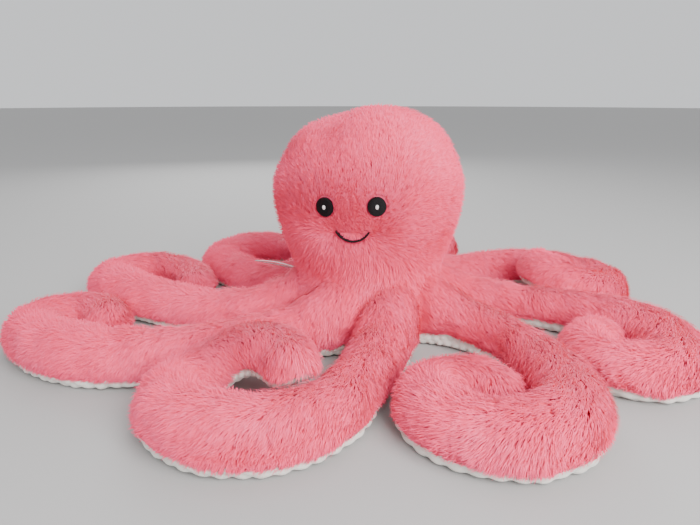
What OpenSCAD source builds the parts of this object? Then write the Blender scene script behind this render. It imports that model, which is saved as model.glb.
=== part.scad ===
// Plush octopus toy: a stuffed head, eight stuffed arms that curl on the table, an embroidered face and
// a sewn-in care label. The origin is on the table, under the middle of the head. The face looks along -Y.

/* [Head] */
// Greatest radius of the head, at its sewn outline
head_r = 115; // [105:1:120]
// Height of the crown above the table
head_top_z = 273; // [262:1:285]
// Height at which the head is widest
head_wide_z = 180; // [165:1:195]
// Radius of the neck, just above the arms
neck_r = 92; // [88:1:94]
// Height of the neck
neck_z = 82; // [80:1:90]
// Radius of the core between the arm roots, and of the base panel
core_r = 60; // [54:1:61]
// Thickness of the pile and its backing on the head
plush_t = 8; // [6:0.5:10]
// Thickness of the base panel
base_t = 5; // [4:0.5:6]

/* [Arms] */
// Length of each arm along its middle, from its lift axis to its last full section
arm_length = 490; // [485:1:495]
// Radius of the circle on which the arm roots stand
root_circle_r = 95; // [95:0.5:98]
// Half width of an arm at its root
root_half_w = 34.5; // [32:0.5:35]
// Half thickness of an arm at its root
root_half_t = 30; // [28:0.5:30.5]
// Half width of an arm where its first stretch is narrowest
neck_half_w = 27; // [25:0.5:28]
// Half thickness of an arm where its first stretch is narrowest
neck_half_t = 25.5; // [22:0.5:26]
// Half width of an arm in the middle of its curl
curl_half_w = 35; // [32:0.5:36]
// Half thickness of an arm in the middle of its curl
curl_half_t = 28.5; // [25:0.5:29]
// Half width of an arm at its tip
tip_half_w = 27; // [24:0.5:28]
// Half thickness of an arm at its tip
tip_half_t = 24.5; // [20:0.5:25]
// Size of the filling's section against the arm's section
filling_share = 0.78; // [0.7:0.01:0.85]
// Height of the front right arm's tip above the table
front_tip_rise = 30; // [26:1:34]
// Height of the rear right arm's tip above the table
rear_tip_rise = 26; // [22:1:30]

/* [Face] */
// Width of an embroidered eye
eye_w = 19; // [17:0.5:21]
// Angle of each eye from the middle of the face
eye_angle = 14; // [13:0.5:17]
// Height of the eyes
eye_z = 175; // [168:1:182]
// Width of the highlight in an eye
highlight_w = 4; // [3:0.5:5]
// Height of the highlight in an eye
highlight_h = 6.5; // [5:0.5:8]
// Width of the smile
smile_w = 34; // [30:1:38]
// Depth of the smile's curve
smile_drop = 10.5; // [8:0.5:12]
// Height of the ends of the smile
smile_z = 148; // [142:1:154]
// Width of the smile's stitched line
smile_line = 2; // [1.5:0.5:3]
// Height of the embroidery above the plush
stitch_t = 1.2; // [0.8:0.2:2]

/* [Care label] */
// Length of the folded label, from its seam to its fold
label_l = 58; // [50:1:60]
// Width of the label
label_w = 13; // [10:1:14]
// Thickness of the folded label
label_t = 1.2; // [1:0.1:2]

/* [Hidden] */

// Each arm: direction of its root, turn of its first stretch from that direction, its bends and the rise
// of its tip. The bends are pairs of a share of the length and the clockwise turn reached there.
front_left = [-112.5, -38, [[0, 0], [0.321, -4], [0.739, 68], [0.876, 167], [1, 256]], 0];
front_right = [-67.5, -25, [[0, 0], [0.305, 14], [0.655, 125], [0.795, 222], [1, 316]], front_tip_rise];
right_front = [-22.5, 12, [[0, 0], [0.253, 49], [0.434, 72], [0.779, 213], [1, 380]], 0];
right_rear = [22.5, -16, [[0, 0], [0.438, 33], [0.667, 108], [0.838, 214], [1, 328]], 0];
rear_right = [67.5, -20, [[0, 0], [0.358, 30], [0.651, 95], [0.792, 192], [1, 320]], rear_tip_rise];
rear_left = [112.5, -10, [[0, 0], [0.336, 17], [0.581, 88], [0.8, 204], [1, 319]], 0];
left_rear = [157.5, 8, [[0, 0], [0.38, 28], [0.47, 86], [0.702, 175], [1, 277]], 0];
left_front = [-157.5, 1, [[0, 0], [0.32, 36], [0.584, 55], [0.818, 203], [1, 258]], 0];

arm_ring_turn = 1.5;
arm_rings = 30;
cap_angles = [75, 50, 25];
neck_share = 0.22;
curl_share = 0.55;
rise_start_share = 0.74;
rise_share = 0.2;
seam_angle = 24;
upper_angles = [-seam_angle, 14, 52, 90, 128, 166, 180 + seam_angle];
lower_angles = [180 + seam_angle, 250, 290, 360 - seam_angle];
seam_sine = sin(seam_angle);
floor_sine = sin(70);
plush_colour = "hotpink";
bubble_colour = "ivory";
fibre_colour = "whitesmoke";
thread_colour = "black";
$fn = 96;

function mix(a, b, u) = a + (b - a) * u;
function smooth(u) = let (c = max(0, min(1, u))) c * c * (3 - 2 * c);

// --- Arm geometry -----------------------------------------------------------------------------------

// Half width and half thickness of an arm at a share u of its length
function half_w(u) =
    lookup(u, [[0, root_half_w], [neck_share, neck_half_w], [curl_share, curl_half_w], [1, tip_half_w]]);
function half_t(u) =
    lookup(u, [[0, root_half_t], [neck_share, neck_half_t], [curl_share, curl_half_t], [1, tip_half_t]]);

// Direction of an arm's root, and heading of the arm at a share u of its length
function root_direction(arm) = arm[0] + arm_ring_turn;
function heading(arm, u) = root_direction(arm) + arm[1] - lookup(u, arm[2]);

function along(h, d) = [cos(h) * d, sin(h) * d];

// Middle line of an arm, as [x, y, heading, share of the length]
function middle_line(arm) =
    let (step = arm_length / arm_rings)
    [for (i = 0, p = along(root_direction(arm), root_circle_r);
        i <= arm_rings;
        p = p + along(heading(arm, (i + 0.5) / arm_rings), step), i = i + 1)
        [p.x, p.y, heading(arm, i / arm_rings), i / arm_rings]];

// A ring: centre, heading, half width and half thickness
function ring(p, rise, shift, scale) =
    let (u = p[3], t = half_t(u), q = [p.x, p.y] + along(p[2], shift))
    [[q.x, q.y, floor_sine * t + rise * smooth((u - rise_start_share) / rise_share)], p[2],
        half_w(u) * scale, t * scale];

function arm_section_rings(arm) =
    let (line = middle_line(arm), first = line[0], last = line[arm_rings], rise = arm[3])
    concat(
        [for (a = cap_angles) ring(first, rise, -root_half_t * sin(a), cos(a))],
        [for (p = line) ring(p, rise, 0, 1)],
        [for (i = [len(cap_angles) - 1:-1:0])
            ring(last, rise, tip_half_w * sin(cap_angles[i]), cos(cap_angles[i]))]);

// Point on a ring's ellipse, drawn in towards the middle of its seam line by the factor share
function ring_point(r, angle, share) =
    let (side = r[2] * cos(angle) * share, up = r[3] * (share * (sin(angle) + seam_sine) - seam_sine))
    r[0] + [-sin(r[1]) * side, cos(r[1]) * side, up];

// Faces of a half shell. The outer skin has rings 0 to rings - 1 and the inner skin only those from
// first to last, each ring being an arc of n points that runs anticlockwise from seam to seam.
function half_shell_faces(rings, n, first, last) =
    let (
        outer = function (k, j) k * n + j,
        inner = function (k, j) rings * n + (k - first) * n + j,
        end = n - 1
    )
    concat(
        [for (k = [0:rings - 2], j = [0:n - 2]) each [
            [outer(k, j), outer(k, j + 1), outer(k + 1, j + 1)],
            [outer(k, j), outer(k + 1, j + 1), outer(k + 1, j)]]],
        [for (k = [first:last - 1], j = [0:n - 2]) each [
            [inner(k, j), inner(k + 1, j + 1), inner(k, j + 1)],
            [inner(k, j), inner(k + 1, j), inner(k + 1, j + 1)]]],
        [for (k = [first:last - 1]) each [
            [outer(k, 0), outer(k + 1, 0), inner(k + 1, 0)],
            [outer(k, 0), inner(k + 1, 0), inner(k, 0)],
            [outer(k, end), inner(k, end), inner(k + 1, end)],
            [outer(k, end), inner(k + 1, end), outer(k + 1, end)]]],
        [for (k = [0:first - 2]) each [
            [outer(k, 0), outer(k + 1, 0), outer(k + 1, end)],
            [outer(k, 0), outer(k + 1, end), outer(k, end)]]],
        [for (k = [last + 1:rings - 2]) each [
            [outer(k, 0), outer(k + 1, 0), outer(k + 1, end)],
            [outer(k, 0), outer(k + 1, end), outer(k, end)]]],
        [[outer(first - 1, 0), outer(first, 0), inner(first, 0)],
            [outer(first - 1, 0), inner(first, 0), inner(first, end)],
            [outer(first - 1, 0), inner(first, end), outer(first, end)],
            [outer(first - 1, 0), outer(first, end), outer(first - 1, end)]],
        [[outer(last + 1, 0), inner(last, 0), outer(last, 0)],
            [outer(last + 1, 0), inner(last, end), inner(last, 0)],
            [outer(last + 1, 0), outer(last, end), inner(last, end)],
            [outer(last + 1, 0), outer(last + 1, end), outer(last, end)]],
        [for (j = [1:n - 2]) [outer(0, 0), outer(0, j + 1), outer(0, j)]],
        [for (j = [1:n - 2]) [outer(rings - 1, 0), outer(rings - 1, j), outer(rings - 1, j + 1)]],
        [for (j = [1:n - 2]) [inner(first, 0), inner(first, j), inner(first, j + 1)]],
        [for (j = [1:n - 2]) [inner(last, 0), inner(last, j + 1), inner(last, j)]]);

// The hollow of the covers starts one cap ring before the lift axis and ends at the last full section
hollow_first = len(cap_angles) - 1;
hollow_last = len(cap_angles) + arm_rings;

module arm_half_shell(arm, angles) {
    r = arm_section_rings(arm);
    outer_points = [for (k = [0:len(r) - 1], a = angles) ring_point(r[k], a, 1)];
    inner_points = [for (k = [hollow_first:hollow_last], a = angles) ring_point(r[k], a, filling_share)];
    polyhedron(concat(outer_points, inner_points),
        [for (f = half_shell_faces(len(r), len(angles), hollow_first, hollow_last)) [f[2], f[1], f[0]]]);
}

module arm_cover(arm) {
    color(plush_colour) arm_half_shell(arm, upper_angles);
}

module arm_underside(arm) {
    color(bubble_colour) arm_half_shell(arm, lower_angles);
}

module arm_filling(arm) {
    r = arm_section_rings(arm);
    angles = concat(upper_angles, [lower_angles[1], lower_angles[2]]);
    n = len(angles);
    points = [for (k = [hollow_first:hollow_last], a = angles) ring_point(r[k], a, filling_share)];
    last = hollow_last - hollow_first;
    faces = concat(
        [for (k = [0:last - 1], j = [0:n - 1]) each [
            [k * n + j, (k + 1) * n + (j + 1) % n, k * n + (j + 1) % n],
            [k * n + j, (k + 1) * n + j, (k + 1) * n + (j + 1) % n]]],
        [for (j = [1:n - 2]) [0, j, j + 1]],
        [for (j = [1:n - 2]) [last * n, last * n + j + 1, last * n + j]]);
    color(fibre_colour) polyhedron(points, faces);
}

// --- Head geometry ----------------------------------------------------------------------------------

// Height at which the head starts to widen above the core
core_top_z = 60;
crown_steps = 14;
cheek_steps = 10;
under_steps = 6;

// Outline of the head from its bottom edge up to the crown, drawn in by the distance inset
function head_outline(inset) = concat(
    [[core_r - inset, base_t]],
    [for (i = [0:under_steps])
        let (a = 90 * i / under_steps)
        [mix(core_r, neck_r, sin(a)) - inset, neck_z - (neck_z - core_top_z) * cos(a) * cos(a)]],
    [for (i = [1:cheek_steps])
        let (u = i / cheek_steps)
        [mix(neck_r, head_r, (1 - cos(180 * u)) / 2) - inset, mix(neck_z, head_wide_z, u)]],
    [for (i = [1:crown_steps])
        let (a = 90 * i / crown_steps)
        [(head_r - inset) * cos(a), head_wide_z + (head_top_z - inset - head_wide_z) * sin(a)]]);

// Half of a shell of the head between two insets, on the -Y side
module head_half_shell(outer_inset, inner_inset) {
    inner = head_outline(inner_inset);
    rotate([0, 0, 180])
        rotate_extrude(angle = 180)
            polygon(concat(head_outline(outer_inset), [for (i = [len(inner) - 1:-1:0]) inner[i]]));
}

module head_front_panel() {
    color(plush_colour) head_half_shell(0, plush_t);
}

module head_back_panel() {
    color(plush_colour) rotate([0, 0, 180]) head_half_shell(0, plush_t);
}

module head_filling() {
    color(fibre_colour)
        rotate_extrude()
            polygon(concat([[0, base_t]], head_outline(plush_t)));
}

module base_panel() {
    color(bubble_colour) cylinder(h = base_t, r = core_r);
}

// --- Face -------------------------------------------------------------------------------------------

// The layer of embroidery on the front of the head, cut to the shape of its children, which are drawn
// in the plane that faces along -Y, turned sideways by angle and raised to the height z
module embroidery(angle, z, top) {
    intersection() {
        head_half_shell(-top, 0);
        rotate([0, 0, angle])
            translate([0, 0, z])
                rotate([90, 0, 0])
                    linear_extrude(head_r + plush_t)
                        children();
    }
}

module highlight_shape() {
    scale([highlight_w / highlight_h, 1]) circle(d = highlight_h);
}

module eye(angle) {
    color(thread_colour)
        embroidery(angle, eye_z, stitch_t)
            difference() {
                circle(d = eye_w);
                highlight_shape();
            }
}

module eye_highlight(angle) {
    color("white") embroidery(angle, eye_z, stitch_t + highlight_t) highlight_shape();
}

highlight_t = 0.4;

// The smile is an arc of the circle that passes through its two ends and its lowest point
smile_r = (smile_w * smile_w / 4 + smile_drop * smile_drop) / (2 * smile_drop);
smile_half_angle = asin(smile_w / 2 / smile_r);

module smile() {
    reach = smile_r * 2;
    color(thread_colour)
        embroidery(0, smile_z, stitch_t)
            translate([0, smile_r - smile_drop])
                intersection() {
                    difference() {
                        circle(r = smile_r + smile_line / 2);
                        circle(r = smile_r - smile_line / 2);
                    }
                    polygon([[0, 0],
                        [-reach * sin(smile_half_angle), -reach * cos(smile_half_angle)],
                        [0, -reach],
                        [reach * sin(smile_half_angle), -reach * cos(smile_half_angle)]]);
                }
}

// --- Care label -------------------------------------------------------------------------------------

label_direction = 180;
label_z = 68;
label_slope = 6;
label_tilt = 18;
label_gap = 0.7;

module care_label() {
    color("white")
        rotate([0, 0, label_direction])
            translate([neck_r + label_gap, 0, label_z])
                rotate([label_tilt, -label_slope, 0])
                    translate([0, -label_w / 2, 0])
                        cube([label_l, label_w, label_t]);
}

head_front_panel();
head_back_panel();
head_filling();
base_panel();
eye(-eye_angle);  // left_eye
eye(eye_angle);  // right_eye
eye_highlight(-eye_angle);  // left_eye_highlight
eye_highlight(eye_angle);  // right_eye_highlight
smile();
care_label();
arm_cover(front_left);  // front_left_arm_cover
arm_underside(front_left);  // front_left_arm_underside
arm_filling(front_left);  // front_left_arm_filling
arm_cover(front_right);  // front_right_arm_cover
arm_underside(front_right);  // front_right_arm_underside
arm_filling(front_right);  // front_right_arm_filling
arm_cover(right_front);  // right_front_arm_cover
arm_underside(right_front);  // right_front_arm_underside
arm_filling(right_front);  // right_front_arm_filling
arm_cover(right_rear);  // right_rear_arm_cover
arm_underside(right_rear);  // right_rear_arm_underside
arm_filling(right_rear);  // right_rear_arm_filling
arm_cover(rear_right);  // rear_right_arm_cover
arm_underside(rear_right);  // rear_right_arm_underside
arm_filling(rear_right);  // rear_right_arm_filling
arm_cover(rear_left);  // rear_left_arm_cover
arm_underside(rear_left);  // rear_left_arm_underside
arm_filling(rear_left);  // rear_left_arm_filling
arm_cover(left_rear);  // left_rear_arm_cover
arm_underside(left_rear);  // left_rear_arm_underside
arm_filling(left_rear);  // left_rear_arm_filling
arm_cover(left_front);  // left_front_arm_cover
arm_underside(left_front);  // left_front_arm_underside
arm_filling(left_front);  // left_front_arm_filling
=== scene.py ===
"""Looks of the plush octopus toy: long-pile covers, bubble-fabric undersides, embroidery and care label."""
import math

import bpy
import numpy as np
from mathutils import Matrix


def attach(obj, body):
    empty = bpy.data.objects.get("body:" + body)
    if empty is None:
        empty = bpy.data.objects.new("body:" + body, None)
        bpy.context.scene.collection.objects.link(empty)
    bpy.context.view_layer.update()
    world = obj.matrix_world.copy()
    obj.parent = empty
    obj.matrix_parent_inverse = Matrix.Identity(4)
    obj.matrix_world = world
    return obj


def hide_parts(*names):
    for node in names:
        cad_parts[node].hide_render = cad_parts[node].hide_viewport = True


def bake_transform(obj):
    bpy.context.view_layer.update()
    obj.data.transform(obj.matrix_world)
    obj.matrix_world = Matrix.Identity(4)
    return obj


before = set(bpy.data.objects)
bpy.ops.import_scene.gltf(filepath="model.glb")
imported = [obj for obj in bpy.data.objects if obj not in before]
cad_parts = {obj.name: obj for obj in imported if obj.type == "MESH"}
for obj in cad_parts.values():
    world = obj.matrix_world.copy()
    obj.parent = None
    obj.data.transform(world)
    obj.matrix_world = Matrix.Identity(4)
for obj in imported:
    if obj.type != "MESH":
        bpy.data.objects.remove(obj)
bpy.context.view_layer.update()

MM = 0.001

# --- Camera -----------------------------------------------------------------------------------------

CAMERA_AZIMUTH = math.radians(11.5)
CAMERA_PITCH = math.radians(17.6)
CAMERA_DISTANCE = 0.65
CAMERA_HEIGHT = 0.285
CAMERA_SIDESTEP = 0.0226
LENS_MM, SENSOR_MM = 27.05, 36


def placed(right, up, back, place):
    """The matrix of an object at a place in metres, whose own axes are right, up and back."""
    matrix = np.eye(4)
    matrix[:3] = np.stack([right, up, back, place], 1)
    return Matrix(matrix.tolist())


def make_camera():
    across = np.array([math.cos(CAMERA_AZIMUTH), math.sin(CAMERA_AZIMUTH), 0])
    level = np.array([-math.sin(CAMERA_AZIMUTH), math.cos(CAMERA_AZIMUTH), 0])
    forward = math.cos(CAMERA_PITCH) * level - math.sin(CAMERA_PITCH) * np.array([0, 0, 1])
    up = np.cross(across, forward)
    place = -CAMERA_DISTANCE * level - CAMERA_SIDESTEP * across + np.array([0, 0, CAMERA_HEIGHT])
    data = bpy.data.cameras.new("camera")
    data.lens = LENS_MM
    data.sensor_width = SENSOR_MM
    camera = bpy.data.objects.new("camera", data)
    bpy.context.scene.collection.objects.link(camera)
    camera.matrix_world = placed(across, up, -forward, place)
    bpy.context.scene.camera = camera


make_camera()

# --- Small tools ------------------------------------------------------------------------------------

HASH_PRIMES = np.array([73856093, 19349663, 83492791])
SALT_PRIME, MIX_PRIME = 2654435761, 1274126177
HASH_BITS = 24
WAVES, WAVE_STRETCH, WAVE_PHASES, WAVE_SUM = 6, (0.8, 1.6), 6.28, 3.2


def smooth(x):
    """An even step from 0 to 1 as x goes from 0 to 1."""
    x = np.clip(x, 0, 1)
    return x * x * (3 - 2 * x)


def hump(x, middle, width):
    """A smooth hump of height 1 at the middle, in the same unit as x."""
    return np.exp(-((x - middle) / width) ** 2)


def evened(values):
    """Each value averaged with its two neighbours on either side."""
    return np.convolve(np.pad(values, 2, mode="edge"), np.ones(5) / 5, "valid")


def unit(v):
    return v / np.maximum(np.linalg.norm(v, axis=-1, keepdims=True), 1e-9)


def hashed(keys, salt):
    """A number from 0 to 1 for each row of three whole numbers."""
    h = keys.astype(np.int64) @ HASH_PRIMES + salt * SALT_PRIME
    h = (h ^ (h >> 13)) * MIX_PRIME
    h = (h ^ (h >> 16)) & (2 ** HASH_BITS - 1)
    return h / 2.0 ** HASH_BITS


def lumps(p, size, seed):
    """Smooth noise from -1 to 1 at points p in mm, with features about size across."""
    rng = np.random.default_rng(seed)
    total = np.zeros(len(p))
    for _ in range(WAVES):
        way = unit(rng.normal(size=3)) * 2 * math.pi / (size * rng.uniform(*WAVE_STRETCH))
        total += np.sin(p @ way + rng.uniform(0, WAVE_PHASES))
    return total / WAVE_SUM


def to_object(name, points, faces, materials, tones=None):
    """A mesh object from points in mm. faces is one array per face size, in order."""
    mesh = bpy.data.meshes.new(name)
    mesh.vertices.add(len(points))
    mesh.vertices.foreach_set("co", (np.asarray(points, float) * MM).astype(np.float32).ravel())
    groups = [np.asarray(f, np.int32) for f in faces if len(f)]
    loops = np.concatenate([g.ravel() for g in groups])
    sizes = np.concatenate([np.full(len(g), g.shape[1], np.int32) for g in groups])
    starts = np.concatenate([[0], np.cumsum(sizes)[:-1]]).astype(np.int32)
    mesh.loops.add(len(loops))
    mesh.loops.foreach_set("vertex_index", loops)
    mesh.polygons.add(len(sizes))
    mesh.polygons.foreach_set("loop_start", starts)
    if tones is not None:
        mesh.polygons.foreach_set("material_index", np.asarray(tones, np.int32))
    mesh.update(calc_edges=True)
    mesh.polygons.foreach_set("use_smooth", np.ones(len(sizes), bool))
    for m in materials:
        mesh.materials.append(m)
    piece = bpy.data.objects.new(name, mesh)
    bpy.context.scene.collection.objects.link(piece)
    return piece


def grid_faces(rows, columns, wrap=False):
    """Quads of a grid of points, rows by columns."""
    r, c = np.meshgrid(np.arange(rows - 1), np.arange(columns if wrap else columns - 1), indexing="ij")
    a = (r * columns + c).ravel()
    b = (r * columns + (c + 1) % columns).ravel()
    return np.stack([a, b, b + columns, a + columns], 1)


def ring_points(radius, z, columns):
    """Level rings of points, one for each radius and height, counter-clockwise from the x axis."""
    turns = np.arange(columns) / columns * 2 * math.pi
    return np.stack([
        radius[:, None] * np.cos(turns)[None, :],
        radius[:, None] * np.sin(turns)[None, :],
        np.repeat(z[:, None], columns, 1)], -1)


def triangles_of(quads):
    return np.concatenate([quads[:, [0, 1, 2]], quads[:, [0, 2, 3]]])


def crossed_sides(points, t):
    """For each triangle, its normal with the length of twice its area."""
    return np.cross(points[t[:, 1]] - points[t[:, 0]], points[t[:, 2]] - points[t[:, 0]])


def vertex_normals(points, quads):
    t = triangles_of(quads)
    n = crossed_sides(points, t)
    total = np.zeros_like(points)
    for k in range(3):
        np.add.at(total, t[:, k], n)
    return unit(total)


# --- Materials --------------------------------------------------------------------------------------


def new_material(name):
    material = bpy.data.materials.new(name)
    material.use_nodes = True
    return material, material.node_tree, material.node_tree.nodes["Principled BSDF"]


def set_inputs(node, values):
    for socket, value in values.items():
        node.inputs[socket].default_value = value


def pile_material(name, colour):
    """One tone of the pile. The tones differ from strand to strand at random, and each blade's root is given a
    darker tone as painted shade and its tip a lighter tone as painted highlight, so each is plain.
    """
    material, _, shader = new_material(name)
    set_inputs(shader, {
        "Base Color": (*colour, 1), "Roughness": 0.62, "Specular IOR Level": 0.25,
        "Sheen Weight": 0.12, "Sheen Roughness": 0.45, "Sheen Tint": (1.0, 0.72, 0.76, 1)})
    return material


def fabric_material(name, dark, light, grain, roughness, sheen, bump, weave=0):
    """Cloth with a mottled colour, a fine grain and, where weave is set, crossed threads per metre."""
    material, tree, shader = new_material(name)
    place = tree.nodes.new("ShaderNodeTexCoord")
    mottle = tree.nodes.new("ShaderNodeTexNoise")
    set_inputs(mottle, {"Scale": 55, "Detail": 5})
    ramp = tree.nodes.new("ShaderNodeValToRGB")
    for stop, position, colour in zip(ramp.color_ramp.elements, (0.32, 0.68), (dark, light)):
        stop.position = position
        stop.color = (*colour, 1)
    nap = tree.nodes.new("ShaderNodeTexNoise")
    set_inputs(nap, {"Scale": grain, "Detail": 3})
    raised = tree.nodes.new("ShaderNodeBump")
    set_inputs(raised, {"Strength": bump, "Distance": 0.0006})
    link = tree.links.new
    link(place.outputs["Object"], mottle.inputs["Vector"])
    link(place.outputs["Object"], nap.inputs["Vector"])
    link(mottle.outputs["Fac"], ramp.inputs["Fac"])
    link(ramp.outputs["Color"], shader.inputs["Base Color"])
    height = nap.outputs["Fac"]
    if weave:
        for direction in ("X", "Y"):
            threads = tree.nodes.new("ShaderNodeTexWave")
            threads.bands_direction = direction
            set_inputs(threads, {"Scale": weave, "Distortion": 0.4})
            mixed = tree.nodes.new("ShaderNodeMath")
            mixed.operation = "ADD"
            link(place.outputs["Object"], threads.inputs["Vector"])
            link(threads.outputs["Fac"], mixed.inputs[0])
            link(height, mixed.inputs[1])
            height = mixed.outputs[0]
    link(height, raised.inputs["Height"])
    link(raised.outputs["Normal"], shader.inputs["Normal"])
    set_inputs(shader, {
        "Roughness": roughness, "Specular IOR Level": 0.3, "Sheen Weight": sheen, "Sheen Roughness": 0.5})
    return material


PILE = [
    pile_material("pile_deep", (0.95, 0.063, 0.156)),
    pile_material("pile_rose", (0.97, 0.070, 0.170)),
    pile_material("pile_pink", (0.99, 0.081, 0.189)),
    pile_material("pile_light", (1.00, 0.100, 0.216)),
    pile_material("pile_pale", (1.00, 0.124, 0.250)),
]
BACKING = fabric_material(
    "plush_backing", (0.88, 0.07, 0.16), (0.96, 0.11, 0.22),
    grain=900, roughness=0.85, sheen=0.1, bump=0.7)
BUBBLE = fabric_material(
    "bubble_fabric", (0.66, 0.62, 0.56), (0.78, 0.75, 0.69),
    grain=1500, roughness=0.8, sheen=0.5, bump=0.6)
FIBRE = fabric_material(
    "fibre_filling", (0.82, 0.81, 0.79), (0.93, 0.93, 0.92),
    grain=450, roughness=0.9, sheen=0.2, bump=1.0)
BLACK_THREAD = fabric_material(
    "black_thread", (0.001, 0.001, 0.001), (0.004, 0.003, 0.004),
    grain=2600, roughness=0.5, sheen=0, bump=0.5)
WHITE_THREAD = fabric_material(
    "white_thread", (0.80, 0.78, 0.77), (0.90, 0.89, 0.88),
    grain=2600, roughness=0.4, sheen=0.1, bump=0.5)
RIBBON = fabric_material(
    "label_ribbon", (0.74, 0.74, 0.73), (0.86, 0.86, 0.85),
    grain=2200, roughness=0.42, sheen=0.2, bump=0.4, weave=900)

# --- Shape of the arms, in mm -----------------------------------------------------------------------

ARM_LENGTH = 490
LINE_STEPS = 980
ROOT_CIRCLE = 95
RING_TURN = 1.5
# Shares of an arm's length, with its half width or half height there
WIDTHS = ((0, 0.22, 0.55, 1), (34.5, 27, 35, 27))
HEIGHTS = ((0, 0.22, 0.55, 1), (30, 25.5, 28.5, 24.5))
# Height of an arm's middle line above the table, as a share of its half height: the arm is squashed a little
SIT = math.sin(math.radians(70))
LIFT_AXIS_Z = HEIGHTS[1][0] * SIT
RISE_START, RISE_SHARE = 0.74, 0.2
# Near its root an arm grows upwards and sideways into the neck: by how much, from where and over what length
FLARE, FLARE_FROM, FLARE_RUN, FLARE_POWER = 27, -22, 78, 1.1
SPREAD, SPREAD_FROM, SPREAD_RUN = 0.10, -20, 60
SEAM_ANGLE = 24
# Swing in degrees, length in mm and shift with the arm's number of the waves in each side seam
SEAM_WAVES = (((3.0, 31, 1), (2.2, 13, 2.1), (1.0, 5.2, 1)), ((3.0, 27, 1.7), (2.2, 14.5, 1), (1.0, 5.7, 0)))
SEAM_CALM = 50
TIP_REACH = 27
ROOT_REACH = 34
PILE_DEPTH = 5
LOWEST = 0.2
BUBBLE_PITCH = 12
BUBBLE_HEIGHT, BUBBLE_SINK = 2.3, 1.6
ARM_SWELL = 2.2
# How far out the slack underside reaches, as a share of the arm's half width: before and after its slackness
ROOMY = ((0, 0.34, 0.5, 0.64, 0.77, 0.87, 0.915, 1), (0, 0.74, 0.88, 0.95, 0.965, 0.93, 0.905, 0.99))
# What the arm's number is added to, for the noise of its parts
COVER_SEED, PILE_SEED, FILLING_SEED, SAG_SEED, CREASE_SEED, BUBBLE_SEED = 40, 60, 90, 120, 140, 160
# Where the bend by the lift axis starts and ends, and how a bend is chosen that is clear of the curled tip
CLEAR_FROM, CLEAR_SPARE, TURN_COST = 95, 6, 12
BEND_TURNS = np.radians(np.arange(-50, 51, 5))

# Root direction, first turn, shares of the length with the clockwise turn reached there, rise of the tip
ARMS = {
    "front_left": (-112.5, -38, (0, 0.321, 0.739, 0.876, 1), (0, -4, 68, 167, 256), 0),
    "front_right": (-67.5, -25, (0, 0.305, 0.655, 0.795, 1), (0, 14, 125, 222, 316), 30),
    "right_front": (-22.5, 12, (0, 0.253, 0.434, 0.779, 1), (0, 49, 72, 213, 380), 0),
    "right_rear": (22.5, -16, (0, 0.438, 0.667, 0.838, 1), (0, 33, 108, 214, 328), 0),
    "rear_right": (67.5, -20, (0, 0.358, 0.651, 0.792, 1), (0, 30, 95, 192, 320), 26),
    "rear_left": (112.5, -10, (0, 0.336, 0.581, 0.8, 1), (0, 17, 88, 204, 319), 0),
    "left_rear": (157.5, 8, (0, 0.38, 0.47, 0.702, 1), (0, 28, 86, 175, 277), 0),
    "left_front": (-157.5, 1, (0, 0.32, 0.584, 0.818, 1), (0, 36, 55, 203, 258), 0),
}


def half_width(u):
    return np.interp(u, *WIDTHS)


def half_height(u):
    return np.interp(u, *HEIGHTS)


def arm_line(arm, s):
    """An arm's middle line at distances s from its lift axis: x, y and heading, straight beyond its ends."""
    root, turn, shares, bends, _ = arm
    fine = np.linspace(0, ARM_LENGTH, LINE_STEPS + 1)
    middle = (fine[1:] + fine[:-1]) / 2
    start = math.radians(root + RING_TURN)
    heading = start + np.radians(turn - np.interp(fine / ARM_LENGTH, shares, bends))
    halfway = start + np.radians(turn - np.interp(middle / ARM_LENGTH, shares, bends))
    step = fine[1] - fine[0]
    x = ROOT_CIRCLE * math.cos(start) + np.concatenate([[0], np.cumsum(np.cos(halfway) * step)])
    y = ROOT_CIRCLE * math.sin(start) + np.concatenate([[0], np.cumsum(np.sin(halfway) * step)])
    inside = np.clip(s, 0, ARM_LENGTH)
    h = np.interp(inside, fine, heading)
    beyond = s - inside
    x = np.interp(inside, fine, x) + np.cos(h) * beyond
    y = np.interp(inside, fine, y) + np.sin(h) * beyond
    return x, y, h


def flare_at(s):
    """How far an arm's top grows upwards into the neck at distances s."""
    return FLARE * (1 - smooth((s - FLARE_FROM) / FLARE_RUN))


def arm_points(arm, s, angles, inset, crown=1.0):
    """Points of an arm's skin, one row for each distance s, one column for each angle in degrees. The upper
    part lies inset mm deep, and crown scales how far the root grows upwards."""
    x, y, h = arm_line(arm, s)
    u = np.clip(s / ARM_LENGTH, 0, 1)
    cap = np.sqrt(np.clip(1 - (np.maximum(s - ARM_LENGTH, 0) / TIP_REACH) ** 2, 0, 1))
    tall = half_height(u)
    lift = SIT * tall + arm[4] * smooth((u - RISE_START) / RISE_SHARE)
    a = np.radians(angles)
    side, up = np.cos(a), np.sin(a)
    deep = inset * smooth((up + 0.5) / 0.7)
    w = (half_width(u)[:, None] - deep) * cap[:, None]
    t = (tall[:, None] - deep) * cap[:, None]
    flare = flare_at(s)[:, None] * np.maximum(up, 0) ** FLARE_POWER * crown
    spread = 1 + SPREAD * (1 - smooth((s - SPREAD_FROM) / SPREAD_RUN))[:, None] * np.maximum(up, 0)
    across = side * w * spread
    z = lift[:, None] + up * t + flare
    points = np.stack([
        x[:, None] - np.sin(h)[:, None] * across,
        y[:, None] + np.cos(h)[:, None] * across,
        np.broadcast_to(z, across.shape)], -1)
    return points, h


def seam_angles(s, number):
    """How far below level an arm's two side seams run, in degrees. They wander a little, but not at the tip."""
    s = s[:, None]
    calm = smooth((ARM_LENGTH + TIP_REACH - s) / SEAM_CALM)
    return [
        SEAM_ANGLE + calm * sum(swing * np.sin(s / length + shift * number) for swing, length, shift in waves)
        for waves in SEAM_WAVES]


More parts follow.
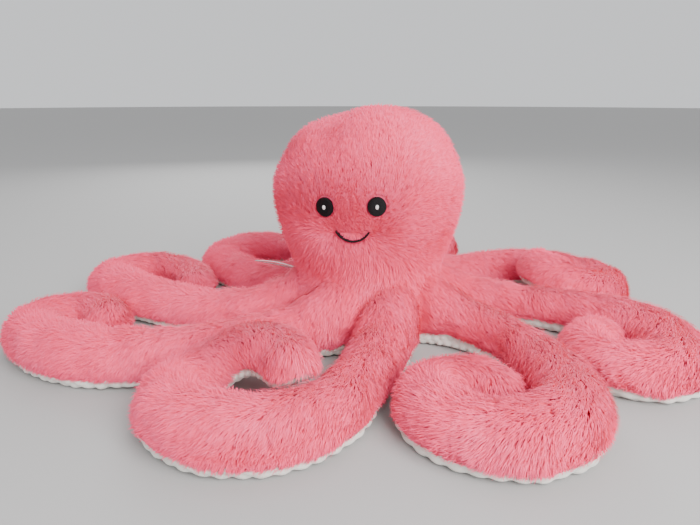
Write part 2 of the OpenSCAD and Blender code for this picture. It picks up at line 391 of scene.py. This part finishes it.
def arm_stations(spacing):
    """Distances along an arm, closer together round its tip."""
    body = np.arange(-ROOT_REACH, ARM_LENGTH, spacing)
    tip = ARM_LENGTH + TIP_REACH * np.sin(np.radians(np.linspace(0, 88, 12)))
    return np.concatenate([body, tip])


# --- Shape of the head, in mm -----------------------------------------------------------------------

HEAD_Z = (
    14, 22, 32, 45, 58, 70, 80, 92, 105, 118, 130, 143, 155, 168, 180, 193, 205, 217, 228, 238, 247, 255, 261,
    265.5, 268, 269)
HEAD_R = (
    90, 94, 96, 95.5, 92, 88.5, 87.2, 89.3, 93.5, 98, 102, 105.6, 108.3, 110.3, 111, 110.3, 108, 103.6, 97.2,
    88.6, 78, 65.5, 52, 37, 22, 0)


def head_radius(z):
    return np.interp(z, HEAD_Z, HEAD_R)


def head_shift(points):
    """The stuffed head is not quite round: it leans a little to its left, its top is lower on its right, and
    the seam at each side is pulled in, but for a bulge of it high on its right."""
    p = points.copy()
    x, y, z = p[:, 0].copy(), p[:, 1], p[:, 2]
    lean = 7 * smooth((z - 185) / 85)
    narrow = 6 * smooth((x - 50) / 45) * smooth((z - 185) / 40)
    p[:, 0] += lean - narrow
    p[:, 2] -= 6 * hump(x, -40, 26) * smooth((z - 200) / 50)
    seam = hump(y, 0, 7) * smooth((np.hypot(x, y) - 40) / 30)
    left = seam * (x < 0)
    push = -2.5 * seam + 7.0 * left * hump(z, 184, 11) - 3.5 * left * hump(z, 152, 20)
    push -= 4 * smooth((-x - 60) / 35) * hump(z, 216, 19)
    push += 1.5 * lumps(points, 55, 3) * smooth((z - 60) / 30)
    out = unit(np.stack([x, y, 0 * x], 1) + 1e-6)
    return p + out * push[:, None]


# Each eye's name, side of the face and height
EYES = (("left", -1, 172.7), ("right", 1, 175.3))
EYE_ANGLE, EYE_W, EYE_H = 14.2, 20, 20.5
HIGHLIGHT_W, HIGHLIGHT_H = 3.3, 6.3
SMILE_X, SMILE_Z, SMILE_DROP, SMILE_W, SMILE_LINE = 1.6, 146.2, 10.5, 37.5, 2
SMILE_R = (SMILE_W ** 2 / 4 + SMILE_DROP ** 2) / (2 * SMILE_DROP)
SMILE_MIDDLE_Z = SMILE_Z + SMILE_R - SMILE_DROP
FACE_R = 115.3
EYE_X = math.radians(EYE_ANGLE) * FACE_R
OUTSIDE = -9


def face_plane(p):
    """Sideways distance along the face and height, for points in mm."""
    return np.arctan2(p[:, 0], -p[:, 1]) * FACE_R, p[:, 2]


def near_face(p, spare):
    """How far inside the embroidery each point lies: above 0 is inside, or within spare of it."""
    across, z = face_plane(p)
    inside = np.full(len(p), float(OUTSIDE))
    for _, sign, cz in EYES:
        d = np.hypot((across - sign * EYE_X) / (EYE_W / 2 + spare), (z - cz) / (EYE_H / 2 + spare))
        inside = np.maximum(inside, 1 - d)
    d = np.abs(np.hypot(across - SMILE_X, z - SMILE_MIDDLE_Z) - SMILE_R)
    on_arc = (np.abs(across - SMILE_X) < SMILE_W / 2 + spare) & (z < SMILE_Z + spare)
    inside = np.maximum(inside, np.where(on_arc, 1 - d / (SMILE_LINE / 2 + spare), OUTSIDE))
    return np.where(p[:, 1] < 0, inside, OUTSIDE)


# --- Cloth ------------------------------------------------------------------------------------------

PRESSURE, STIFFNESS, CLOTH_FRAMES = 4, 25, 20


def swell(points, faces, pinned, cap):
    """Lets the filling push a closed cover out by cloth simulation; no point moves more than cap mm."""
    mesh = bpy.data.meshes.new("swell")
    mesh.from_pydata((points * MM).tolist(), [], faces)
    cover = bpy.data.objects.new("swell", mesh)
    bpy.context.scene.collection.objects.link(cover)
    group = cover.vertex_groups.new(name="pinned")
    group.add(np.nonzero(pinned)[0].tolist(), 1.0, "REPLACE")
    cloth = cover.modifiers.new("cloth", "CLOTH")
    cloth.settings.quality = 4
    cloth.settings.mass = 0.3
    cloth.settings.vertex_group_mass = "pinned"
    cloth.settings.effector_weights.gravity = 0
    cloth.settings.use_pressure = True
    cloth.settings.uniform_pressure_force = PRESSURE
    cloth.settings.tension_stiffness = STIFFNESS
    cloth.settings.compression_stiffness = STIFFNESS
    cloth.collision_settings.use_collision = False
    cloth.point_cache.frame_start = 1
    cloth.point_cache.frame_end = CLOTH_FRAMES
    scene = bpy.context.scene
    for number in range(1, CLOTH_FRAMES + 1):
        scene.frame_set(number)
    settled = cover.evaluated_get(bpy.context.evaluated_depsgraph_get()).to_mesh()
    moved = np.empty(len(points) * 3, np.float32)
    settled.vertices.foreach_get("co", moved)
    move = moved.reshape(-1, 3).astype(float) / MM - points
    bpy.data.objects.remove(cover)
    bpy.data.meshes.remove(mesh)
    scene.frame_set(1)
    if not np.isfinite(move).all():
        return points
    far = np.linalg.norm(move, axis=1, keepdims=True)
    return points + move * np.minimum(1, cap / np.maximum(far, 1e-6))


# --- Pile -------------------------------------------------------------------------------------------

BLADES_PER_CM2 = 93
MM2_PER_CM2 = 100
# Shares of a blade's length, with its width there; a blade is a strip that ends in a point
BLADE_STEPS = (0, 0.52, 1.0)
BLADE_WIDTHS = (1.0, 0.9, 0.0)
BLADE_LENGTH, BLADE_HEIGHT = 13.0, 4.5
BLADE_SINK, BLADE_SAG = 0.8, 1.1
# Tufts: their size, how far their grid wanders and how far their blades' tips are drawn together
TUFT, TUFT_DRIFT, TUFT_GATHER = 8.5, 5, 0.30
# The part of the blades that strays out of the pile, and how they differ from the others
STRAYS, STRAY_TALL, STRAY_REACH, STRAY_WIDE = 0.13, 1.75, 0.9, 0.6
# How far below its root a blade by the side seam may hang: at least, and how much more where it hangs over
HANG, HANG_OVER = 3.0, 12
PILE_FLOOR = 0.4
# Blades that would lie over the embroidery are shorn to these shares
SHORN_REACH, SHORN_HEIGHT = 0.3, 0.5
FACE_SPARE = 0.2


def scatter(rng, points, quads, comb, size):
    """Roots spread evenly over a skin, with their normals, combing directions and sizes."""
    t = triangles_of(quads)
    normals = vertex_normals(points, quads)
    total = np.cumsum(np.linalg.norm(crossed_sides(points, t), axis=1) / 2)
    count = int(total[-1] / MM2_PER_CM2 * BLADES_PER_CM2)
    even = (np.arange(count) + rng.random(count)) / count
    pick = np.searchsorted(total, even * total[-1]).clip(0, len(t) - 1)
    a, b = rng.random(count), rng.random(count)
    flip = a + b > 1
    a[flip], b[flip] = 1 - a[flip], 1 - b[flip]
    share = np.stack([1 - a - b, a, b], 1)[:, :, None]
    root = (points[t[pick]] * share).sum(1)
    n = unit((normals[t[pick]] * share).sum(1))
    c = (comb[t[pick]] * share).sum(1)
    scale = (size[t[pick]] * share[:, :, 0]).sum(1)
    return root, n, c, scale


def pile(name, points, quads, comb, size, seed, keep):
    """Long pile as thin curved blades, rooted on a skin, combed along the vectors comb and gathered in tufts.
    size scales the blades at each point of the skin, and keep tells which roots stay."""
    rng = np.random.default_rng(seed)
    root, n, c, scale = scatter(rng, points, quads, comb, size)
    good = keep(root, n)
    root, n, c, scale = root[good], n[good], c[good], scale[good]
    count = len(root)
    drift = np.stack([lumps(root, 33, seed + 4 + k) for k in range(3)], 1) * TUFT_DRIFT
    drift = drift + rng.normal(0, 0.9, root.shape)
    key = np.floor((root + drift) / TUFT)
    spot = np.stack([hashed(key, 1), hashed(key, 2), hashed(key, 3)], 1)
    centre = (key + 0.5 + 0.7 * (spot - 0.5)) * TUFT - drift
    pull = centre - root
    pull -= n * (pull * n).sum(1, keepdims=True)
    c = unit(c - n * (c * n).sum(1, keepdims=True))
    side = np.cross(n, c)
    swing = 24 * lumps(root, 58, seed + 1) + 20 * (hashed(key, 4) - 0.5) + rng.normal(0, 8, count)
    swing = np.radians(swing)
    c = c * np.cos(swing)[:, None] + side * np.sin(swing)[:, None]
    side = np.cross(n, c)
    longer = 0.84 + 0.2 * hashed(key, 5) + rng.normal(0, 0.1, count)
    higher = 0.86 + 0.17 * hashed(key, 6) + rng.normal(0, 0.1, count)
    reach = scale * BLADE_LENGTH * longer.clip(0.45, 1.25)
    tall = scale * BLADE_HEIGHT * higher.clip(0.4, 1.3)
    stray = rng.random(count) < STRAYS
    tall[stray] *= STRAY_TALL
    reach[stray] *= STRAY_REACH
    tip = root + c * (reach * 0.8)[:, None] + n * tall[:, None]
    halfway = root + c * (reach * 0.4)[:, None]
    covered = (near_face(tip, FACE_SPARE) > 0) | (near_face(halfway, FACE_SPARE) > 0)
    reach[covered] *= SHORN_REACH
    tall[covered] *= SHORN_HEIGHT
    roll = rng.normal(0, 0.18, count)
    flat = unit(side * np.cos(roll)[:, None] + n * np.sin(roll)[:, None])
    over = smooth((lumps(root, 95, seed + 3) + 0.05) / 0.5)
    hang = HANG + HANG_OVER * over * rng.uniform(0.4, 1, count)
    rows = []
    for step, width in zip(BLADE_STEPS, BLADE_WIDTHS):
        along = reach * (0.3 * step + 0.58 * step ** 1.7)
        up = tall * (1 - (1 - step) ** 2.6) - BLADE_SINK * (step == 0)
        middle = root + c * along[:, None] + n * up[:, None] + pull * (TUFT_GATHER * step)
        middle[:, 2] -= BLADE_SAG * step * step
        half = flat * (width / 2) * np.where(stray, STRAY_WIDE, 1.0)[:, None]
        if width:
            rows += [middle - half, middle + half]
        else:
            rows.append(middle)
    corners = np.stack(rows, 1)
    near_seam = (root[:, 2] < 40) | ((root[:, 2] < 70) & (n[:, 2] < 0.1))
    lowest = np.where(near_seam, np.maximum(root[:, 2] - hang, PILE_FLOOR), PILE_FLOOR)
    corners[:, :, 2] = np.maximum(corners[:, :, 2], lowest[:, None])
    base = np.arange(count)[:, None] * corners.shape[1]
    strips = base + np.array([0, 2, 3, 1])
    tips = base + np.array([2, 4, 3])
    # Tone differs at random from strand to strand; each blade's root strip is set darker as painted shade and
    # its tip lighter as painted highlight
    shade = 2.1 + 0.6 * lumps(root, 60, seed + 2) + 0.9 * (hashed(key, 7) - 0.5) + rng.normal(0, 0.6, count)
    tones = np.concatenate([(shade - 0.8).round().clip(0, 3), (shade + 0.6).round().clip(1, 4)])
    return to_object(name, corners.reshape(-1, 3), [strips, tips], PILE, tones)


# --- Body of the toy --------------------------------------------------------------------------------

HEAD_SWELL = 3.0
HEAD_PILE_FROM = 30
# Half width and half height of the part of an arm's root where the head is out of sight
HIDDEN_W, HIDDEN_H = 31, 28


def head_comb(points):
    """The pile runs away from a short level line across the middle of the face, and downwards behind."""
    same = np.ones(len(points))
    middle = np.stack([points[:, 0].clip(-20, 20), -108 * same, 143 * same], 1)
    c = unit(points - middle)
    back = smooth((points[:, 1] + 50) / 80)[:, None]
    return c * (1 - 0.7 * back) + np.array([0, 0, -1.0]) * 0.9 * back


def head_size(points):
    """The pile is short round the embroidery."""
    across, z = face_plane(points)
    away = np.hypot(across / 42, (z - 164) / 34)
    return np.where(points[:, 1] < 0, 0.55 + 0.45 * smooth((away - 0.6) / 0.9), 1)


def inside_arms(p):
    """True where a point of the head's skin lies well inside an arm's root."""
    hidden = np.zeros(len(p), bool)
    for root, turn, *_ in ARMS.values():
        start = math.radians(root + RING_TURN)
        h = start + math.radians(turn)
        x = p[:, 0] - ROOT_CIRCLE * math.cos(start)
        y = p[:, 1] - ROOT_CIRCLE * math.sin(start)
        along = x * math.cos(h) + y * math.sin(h)
        across = -x * math.sin(h) + y * math.cos(h)
        tall = HIDDEN_H + flare_at(along) * (p[:, 2] > LIFT_AXIS_Z)
        d = (across / HIDDEN_W) ** 2 + ((p[:, 2] - LIFT_AXIS_Z) / tall) ** 2
        hidden |= (d < 0.8) & (along > -30)
    return hidden


def build_head():
    """The two plush panels, front and back, and their pile."""
    z_side, z_top = np.arange(14, 262, 4.0), np.array([262, 264, 265.7, 267, 268, 268.6, 269])
    z = np.concatenate([z_side, z_top])
    columns = 152
    turns = np.arange(columns) / columns * 2 * math.pi
    radius = head_radius(z)
    radius[:len(z_side)] = evened(radius)[:len(z_side)]
    radius[-1] = 0.5
    grid = np.stack([
        radius[:, None] * np.sin(turns)[None, :],
        -radius[:, None] * np.cos(turns)[None, :],
        np.repeat(z[:, None], columns, 1)], -1)
    points = head_shift(grid.reshape(-1, 3))
    quads = grid_faces(len(z), columns, wrap=True)
    closed = np.concatenate([points, [[0, 0, z[0]]]])
    bottom = [[len(points), c, (c + 1) % columns] for c in range(columns)]
    pinned = np.concatenate([(points[:, 2] < 64) | (near_face(points, 9) > 0), [True]])
    points = swell(closed, quads.tolist() + bottom, pinned, HEAD_SWELL)[:-1]
    middle_y = points[quads].mean(1)[:, 1]

    def bare(p, n):
        return inside_arms(p) | (near_face(p + n * 4, FACE_SPARE) >= 0) | (p[:, 2] <= HEAD_PILE_FROM)

    for side, wanted, seed in (("front", middle_y < 0, 25), ("back", middle_y >= 0, 24)):
        part = quads[wanted]
        used, inverse = np.unique(part, return_inverse=True)
        skin = to_object(f"head_{side}_skin", points[used], [inverse.reshape(part.shape)], [BACKING])
        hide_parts(f"head_{side}_panel")
        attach(skin, "head")
        hair = pile(
            f"head_{side}_pile", points, part, head_comb(points), head_size(points), seed,
            lambda p, n: ~bare(p, n))
        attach(hair, "head")


def blend_arm(piece, name):
    """Bakes a piece's placement into its mesh. A bend direction across the arm's root, clear of the curled tip,
    is chosen but not used, so the piece is not bent.
    """
    arm = ARMS[name]
    start = math.radians(arm[0] + RING_TURN)
    hinge = np.array([math.cos(start), math.sin(start)]) * ROOT_CIRCLE
    s = np.arange(CLEAR_FROM, ARM_LENGTH + 1, 5.0)
    x, y, _ = arm_line(arm, s)
    wide = half_width(s / ARM_LENGTH) + CLEAR_SPARE
    best = None
    for turn in BEND_TURNS:
        way = start + math.radians(arm[1]) + turn
        d = np.array([math.cos(way), math.sin(way)])
        clear = ((x - hinge[0]) * d[0] + (y - hinge[1]) * d[1] - wide).min() - TURN_COST * abs(turn)
        if best is None or clear > best[0]:
            best = (clear, d)
    d = best[1]
    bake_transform(piece)


def bubbles(along, across, pitch):
    """Height from 0 to 1 of a field of round raised dots in rows that are offset by half a pitch."""
    x, y = along / pitch, across / pitch
    row = math.sqrt(3)
    first = np.hypot(x - np.round(x), y - row * np.round(y / row))
    x2, y2 = x - 0.5, y - row / 2
    second = np.hypot(x2 - np.round(x2), y2 - row * np.round(y2 / row))
    d = np.minimum(first, second)
    return np.clip(1 - (d / 0.5) ** 2, 0, 1) ** 1.3


def cover_comb(s, heading, around):
    """Combing directions on an arm's cover: along the arm, down its sides and down its tip."""
    a = np.radians(around)
    slope = np.cos(a)
    tangent = np.stack([np.cos(heading), np.sin(heading), 0 * heading], 1)
    left = np.stack([-np.sin(heading), np.cos(heading), 0 * heading], 1)
    flow = tangent[:, None, :] * (0.75 - 0.25 * np.abs(slope))[:, :, None]
    flow = flow + left[:, None, :] * (0.65 * slope)[:, :, None]
    outer_edge = (np.sin(a) < 0) & (slope > 0)
    flow[:, :, 2] -= (0.35 * (np.sin(a) > 0) + 0.75 * outer_edge) * np.abs(slope)
    flow[:, :, 2] -= 0.5 * smooth((s - ARM_LENGTH + 10) / TIP_REACH)[:, None]
    return flow.reshape(-1, 3)


def build_cover(name, number):
    """The plush upper side of an arm, and its pile."""
    s = arm_stations(3.4)
    near, far = seam_angles(s, number)
    upper = -near + (180 + near + far) * np.linspace(0, 1, 40)
    lower = 180 + far + (180 - near - far) * np.linspace(0, 1, 18)[1:-1]
    around = np.concatenate([upper, lower], 1)
    grid, heading = arm_points(ARMS[name], s, around, PILE_DEPTH)
    rows, columns = grid.shape[:2]
    points = grid.reshape(-1, 3)
    out = unit(points - np.repeat(grid.mean(1), columns, 0))
    steep = np.sin(np.radians(around)).ravel()
    top = steep > -0.3
    points = points + out * (1.3 * lumps(points, 34, COVER_SEED + number) * top)[:, None]
    points[:, 2] = np.maximum(points[:, 2], LOWEST)
    quads = grid_faces(rows, columns, wrap=True)
    points = swell(points, quads.tolist(), ~top, ARM_SWELL)
    points[:, 2] = np.maximum(points[:, 2], LOWEST)

    columns_top = upper.shape[1]
    column = quads % columns
    part = quads[(column < columns_top).all(1) & (column.max(1) - column.min(1) == 1)]
    used, inverse = np.unique(part, return_inverse=True)
    last = (rows - 1) * columns
    rim = np.searchsorted(used, last + np.arange(columns_top))
    cover_points = np.concatenate([points[used], [points[last:last + columns].mean(0)]])
    fan = np.stack([rim[:-1], np.full(columns_top - 1, len(used)), rim[1:]], 1)
    cover = to_object(f"{name}_cover_skin", cover_points, [inverse.reshape(part.shape), fan], [BACKING])
    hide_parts(f"{name}_arm_cover")
    blend_arm(cover, name)

    hair = pile(
        f"{name}_cover_pile", points, part, cover_comb(s, heading, around),
        0.7 + 0.3 * smooth((steep + 0.45) / 0.6), PILE_SEED + number,
        lambda p, n: np.hypot(p[:, 0], p[:, 1]) > head_radius(p[:, 2]) - 2)
    blend_arm(hair, name)


def build_underside(name, number):
    """The bubble fabric under an arm. It is slack, so it bulges and sags between its two seams."""
    s = arm_stations(1.9)
    near, far = seam_angles(s, number)
    lower = 178 + far + (184 - near - far) * np.linspace(0, 1, 44)
    grid, _ = arm_points(ARMS[name], s, lower, 0)
    rows, columns = grid.shape[:2]
    centre = grid[:, [0, -1]].mean(1, keepdims=True)
    edge_on = np.abs(np.cos(np.radians(lower)))
    flat_points = grid.reshape(-1, 3)
    sag = lumps(flat_points, 42, SAG_SEED + number) + 0.7 * lumps(flat_points, 15, CREASE_SEED + number)
    roomy = np.interp(edge_on, *ROOMY)
    roomy = roomy * (1 + 0.035 * sag.reshape(rows, columns) * (edge_on < 0.88))
    flat = grid[:, :, :2] - centre[:, :, :2]
    grid[:, :, :2] = centre[:, :, :2] + flat * (roomy / np.maximum(edge_on, 0.01))[:, :, None]
    out = unit(grid - centre + np.array([0, 0, -2.0]))
    lengths = np.linalg.norm(np.diff(grid, axis=1), axis=2)
    arc = np.concatenate([np.zeros((rows, 1)), np.cumsum(lengths, 1)], 1)
    arc -= arc[:, -1:] / 2
    raised = bubbles(np.repeat(s[:, None], columns, 1), arc, BUBBLE_PITCH)
    uneven = 0.8 + 0.35 * lumps(grid.reshape(-1, 3), 24, BUBBLE_SEED + number)
    raised *= uneven.reshape(rows, columns).clip(0.2, 1.1)
    edge = np.minimum(np.arange(columns), columns - 1 - np.arange(columns)) / 4
    grid = grid + out * ((BUBBLE_HEIGHT * raised - BUBBLE_SINK) * smooth(edge)[None, :])[:, :, None]
    grid[:, :, 2] = np.maximum(grid[:, :, 2], 0.15 + 1.0 * (1 - raised))
    points = np.concatenate([grid.reshape(-1, 3), [grid[-1].mean(0)]])
    last = (rows - 1) * columns + np.arange(columns)
    fan = np.stack([last[:-1], np.full(columns - 1, len(points) - 1), last[1:]], 1)
    under = to_object(f"{name}_underside_skin", points, [grid_faces(rows, columns), fan], [BUBBLE])
    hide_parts(f"{name}_arm_underside")
    blend_arm(under, name)


def build_filling(name, number):
    """The fibre filling of an arm."""
    s = np.linspace(-20, ARM_LENGTH + 8, 70)
    grid, _ = arm_points(ARMS[name], s, np.arange(16) * 22.5, PILE_DEPTH, crown=0.3)
    centre = grid.mean(1, keepdims=True)
    shrink = 0.74 + 0.05 * lumps(grid.reshape(-1, 3), 22, FILLING_SEED + number).reshape(grid.shape[:2])
    grid = centre + (grid - centre) * shrink[:, :, None]
    rows, columns = grid.shape[:2]
    points = np.concatenate([grid.reshape(-1, 3), [centre[0, 0]], [centre[-1, 0]]])
    first = np.arange(columns)
    last = (rows - 1) * columns + first
    ends = np.concatenate([
        np.stack([first, np.roll(first, -1), np.full(columns, rows * columns)], 1),
        np.stack([np.roll(last, -1), last, np.full(columns, rows * columns + 1)], 1)])
    quads = grid_faces(rows, columns, wrap=True)
    filling = to_object(f"{name}_filling_fibre", points, [quads, ends], [FIBRE])
    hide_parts(f"{name}_arm_filling")
    blend_arm(filling, name)


def build_underbody():
    """The bubble fabric under the head, between the arms, and the filling of the head."""
    columns = 180
    radius = np.concatenate([np.arange(0.8, 88, 1.7), [89, 90.5, 91.2]])
    rise = 1.6 + 13 * smooth((radius - 58) / 34)
    rise[-2:] += (1.0, 2.5)
    grid = ring_points(radius, rise, columns)
    grid[:, :, 2] -= 1.3 * bubbles(grid[:, :, 0], grid[:, :, 1], BUBBLE_PITCH)
    points = grid.reshape(-1, 3)
    quads = grid_faces(len(radius), columns, wrap=True)
    panel = to_object("base_panel_skin", points, [quads], [BUBBLE])
    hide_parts("base_panel")
    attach(panel, "head")

    z = np.linspace(9, 256, 40)
    r = np.maximum(head_radius(z) - 10, 3)
    r[0] = 40
    columns = 48
    points = ring_points(r, z, columns).reshape(-1, 3)
    points = head_shift(points) * (1 - 0.02 * (1 + lumps(points, 30, 5)))[:, None]
    points = np.concatenate([points, [[0, 0, 9], [12, 0, 255]]])
    first = np.arange(columns)
    last = (len(z) - 1) * columns + first
    ends = np.concatenate([
        np.stack([np.roll(first, -1), first, np.full(columns, len(z) * columns)], 1),
        np.stack([last, np.roll(last, -1), np.full(columns, len(z) * columns + 1)], 1)])
    quads = grid_faces(len(z), columns, wrap=True)
    filling = to_object("head_filling_fibre", points, [quads, ends], [FIBRE])
    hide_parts("head_filling")
    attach(filling, "head")


# --- Embroidery and label ---------------------------------------------------------------------------


# How far the sewn surface lies beyond the head's plain shape
FACE_LIFT = 4.2
# Section of a stitch: sideways and outwards in shares of its thread; below 0 it is mm, under the surface
SECTION = ((-0.56, -FACE_LIFT), (-0.36, 0.15), (0, 0.42), (0.36, 0.15), (0.56, -FACE_LIFT))
STITCH_POINTS = 9
# Pitch of the stitches, how far they stand out and how thick their thread is
EYE_STITCH, HIGHLIGHT_STITCH = (0.62, 0.9, 0.66), (0.55, 1.35, 0.6)
# The smile: how many stitches, how far they lean, how far they stand out and how thick their thread is
SMILE_STITCHES, SMILE_LEAN, SMILE_TOP, SMILE_THREAD = 58, 0.045, 0.8, 0.75


def on_face(across, z, out):
    """Point in mm on the face, out mm beyond the sewn surface of the head."""
    turn = across / FACE_R
    r = head_radius(z) + FACE_LIFT + out
    return np.stack([np.sin(turn) * r, -np.cos(turn) * r, z], -1)


def stitches(ends, top, thread):
    """Satin stitches between pairs of end points on the face: low rounded strands, side by side."""
    points, faces = [], []
    along = np.linspace(0, 1, STITCH_POINTS)
    rise = top * np.sqrt(np.clip(1 - (2 * along - 1) ** 4, 0, 1))
    quads = grid_faces(len(SECTION), STITCH_POINTS)
    for number, ((x0, z0), (x1, z1)) in enumerate(ends):
        across, z = x0 + (x1 - x0) * along, z0 + (z1 - z0) * along
        d = np.array([x1 - x0, z1 - z0])
        d = d / max(np.hypot(*d), 1e-6)
        for sideways, high in SECTION:
            o = sideways * thread
            level = np.where(high < 0, high, rise + high * thread)
            points.append(on_face(across - d[1] * o, z + d[0] * o, level))
        faces.append(quads + number * len(SECTION) * STITCH_POINTS)
    return np.concatenate(points), np.concatenate(faces)


def embroider(name, ends, top, thread, material, node):
    points, faces = stitches(ends, top, thread)
    piece = to_object(name, points, [faces], [material])
    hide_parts(node)
    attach(piece, "head")


def oval_rows(longest, spread, pitch):
    """Half length and offset of each of the stitches that fill an oval, side by side over its spread."""
    offsets = np.arange(-spread / 2 + pitch / 2, spread / 2, pitch)
    return zip(longest / 2 * np.sqrt(1 - (offsets / (spread / 2)) ** 2), offsets)


def build_face():
    for side, sign, cz in EYES:
        cx = sign * EYE_X
        pitch, top, thread = EYE_STITCH
        rows = oval_rows(EYE_W, EYE_H, pitch)
        level = [((cx - h, cz + r), (cx + h, cz + r)) for h, r in rows]
        embroider(f"{side}_eye_stitches", level, top, thread,
                  BLACK_THREAD, f"{side}_eye")
        pitch, top, thread = HIGHLIGHT_STITCH
        rows = oval_rows(HIGHLIGHT_H, HIGHLIGHT_W, pitch)
        upright = [((cx + r, cz - h), (cx + r, cz + h)) for h, r in rows]
        embroider(f"{side}_highlight_stitches", upright, top, thread,
                  WHITE_THREAD, f"{side}_eye_highlight")
    half = math.asin(SMILE_W / 2 / SMILE_R)
    ends = []
    for t in np.linspace(-half, half, SMILE_STITCHES):
        taper = SMILE_LINE / 2 * (1 - 0.5 * (abs(t) / half) ** 6)
        ends.append([
            (SMILE_X + r * math.sin(turn), SMILE_MIDDLE_Z - r * math.cos(turn))
            for r, turn in ((SMILE_R - taper, t - SMILE_LEAN), (SMILE_R + taper, t + SMILE_LEAN))])
    embroider("smile_stitches", ends, SMILE_TOP, SMILE_THREAD, BLACK_THREAD, "smile")


# Distances from the middle of the head, with the height of the label's upper layer there
LABEL_TOP = ((92, 98, 106, 119, 131, 142, 152), (65, 66.5, 68.6, 71.5, 72.8, 73.1, 72.6))
LABEL_WIDE = 13


def build_label():
    """A ribbon folded in two and sewn into the side of the head, seen nearly edge on from the front."""
    sewn, end = LABEL_TOP[0][0], LABEL_TOP[0][-1]
    x = np.linspace(sewn, end, 31)
    share = (x - sewn) / (end - sewn)
    high = evened(np.interp(x, *LABEL_TOP))
    apart = 0.6 + 2.6 * np.sin(math.pi * share ** 0.9)
    top = np.stack([-x, high], 1)
    under = np.stack([-x, high - apart], 1)[::-1]
    turns = np.radians(np.linspace(90, -90, 9))[1:-1]
    half = apart[-1] / 2
    fold = np.stack([-end - 0.5 * np.cos(turns), high[-1] - half + half * np.sin(turns)], 1)
    line = np.concatenate([top, fold, under])
    across = np.linspace(-LABEL_WIDE / 2, LABEL_WIDE / 2, 8) * 0.96
    grid = np.stack([
        np.repeat(line[:, :1], len(across), 1),
        np.repeat(across[None, :], len(line), 0),
        line[:, 1:] - 0.29 * across[None, :] - 0.012 * across[None, :] ** 2], -1)
    quads = grid_faces(len(line), len(across))
    ribbon = to_object("care_label_ribbon", grid.reshape(-1, 3), [quads], [RIBBON])
    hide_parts("care_label")
    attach(ribbon, "head")


# --- Studio -----------------------------------------------------------------------------------------

FLOOR_R, FLOOR_Z, FLOOR_SIDES = 15000, -0.2, 48
# Name, place in metres, size in metres and power in watts
LIGHTS = (
    ("key", (0.95, -1.0, 0.95), 1.1, 46), ("fill", (-1.1, -0.9, 0.9), 1.2, 3),
    ("top", (0.25, 0.2, 1.7), 1.4, 7), ("back", (-0.6, 1.3, 0.9), 1.2, 14))
AIM = np.array([0, 0, 0.1])
SKY, SKY_STRENGTH = (0.80, 0.81, 0.83, 1), 1.08


def build_studio():
    k = np.arange(FLOOR_SIDES)
    ring = np.radians(k * 360 / FLOOR_SIDES)
    points = np.concatenate([
        [[0, 0, 0]], np.stack([np.cos(ring) * FLOOR_R, np.sin(ring) * FLOOR_R, 0 * ring], 1)])
    points[:, 2] = FLOOR_Z
    faces = np.stack([0 * k, 1 + k, 1 + (k + 1) % FLOOR_SIDES], 1)
    material, _, shader = new_material("floor")
    set_inputs(shader, {"Base Color": (0.40, 0.395, 0.39, 1), "Roughness": 0.75})
    to_object("floor", points, [faces], [material])
    world = bpy.data.worlds.new("studio")
    bpy.context.scene.world = world
    world.use_nodes = True
    set_inputs(world.node_tree.nodes["Background"], {"Color": SKY, "Strength": SKY_STRENGTH})
    for name, place, size, power in LIGHTS:
        data = bpy.data.lights.new(name, "AREA")
        data.size = size
        data.energy = power
        lamp = bpy.data.objects.new(name, data)
        bpy.context.scene.collection.objects.link(lamp)
        aim = AIM - np.array(place)
        back = -aim / np.linalg.norm(aim)
        right = unit(np.cross([0, 0, 1.0], back))
        lamp.matrix_world = placed(right, np.cross(back, right), back, place)


build_head()
for number, name in enumerate(ARMS):
    build_cover(name, number)
    build_underside(name, number)
    build_filling(name, number)
build_underbody()
build_face()
build_label()
build_studio()
